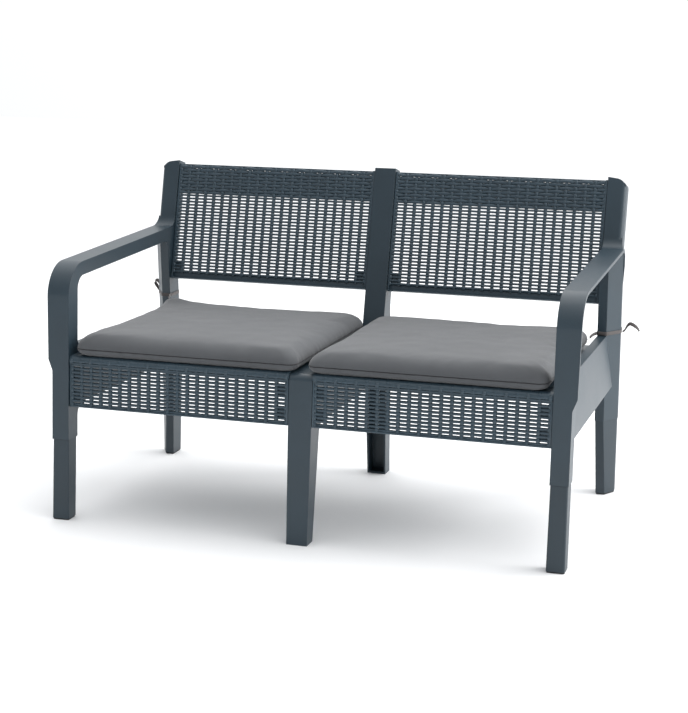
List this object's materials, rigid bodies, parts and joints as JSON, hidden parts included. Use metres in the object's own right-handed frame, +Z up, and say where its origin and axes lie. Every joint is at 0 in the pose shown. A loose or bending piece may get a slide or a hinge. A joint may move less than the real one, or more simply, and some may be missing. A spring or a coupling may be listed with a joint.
{
  "type": "garden bench",
  "caption": "Garden bench with flat-ribbon arms, woven-look seat and back panels, a centre leg frame and tied-on seat cushions",
  "frame": {"origin": "on the ground, under the middle of the bench", "axes": "+X along the bench's length, the seats face -Y, +Z up"},
  "size_m": [1.2815, 0.714, 0.784],
  "materials": {
    "frame_resin": "satin moulded resin with a fine grain",
    "woven_resin": "satin moulded resin in a woven relief",
    "foot_rubber": "matte",
    "screw_steel": "zinc plated",
    "cushion_fabric": "plain woven polyester",
    "pad_fibre": "bonded polyester filling",
    "tie_ribbon": "flat woven tape"
  },
  "bodies": {
    "root": {"side_frame_left": "frame_resin", "side_frame_right": "frame_resin", "centre_frame": "frame_resin", "leg_front_left": "frame_resin", "leg_front_right": "frame_resin", "leg_rear_left": "frame_resin", "leg_rear_right": "frame_resin", "foot_cap_front_left": "foot_rubber", "foot_cap_front_right": "foot_rubber", "foot_cap_rear_left": "foot_rubber", "foot_cap_rear_right": "foot_rubber", "seat_panel_left": "woven_resin", "seat_panel_right": "woven_resin", "front_apron_left": "woven_resin", "front_apron_right": "woven_resin", "back_panel_left": "woven_resin", "back_panel_right": "woven_resin", "seat_screws": "screw_steel", "apron_screws": "screw_steel", "back_panel_screws": "screw_steel", "cushion_cover_left": "cushion_fabric", "cushion_cover_right": "cushion_fabric", "cushion_pad_left": "pad_fibre", "cushion_pad_right": "pad_fibre", "cushion_tie_left": "tie_ribbon", "cushion_tie_right": "tie_ribbon", "tie_loop_left": "tie_ribbon", "tie_tail_right": "tie_ribbon"}
  },
  "joints": []
}
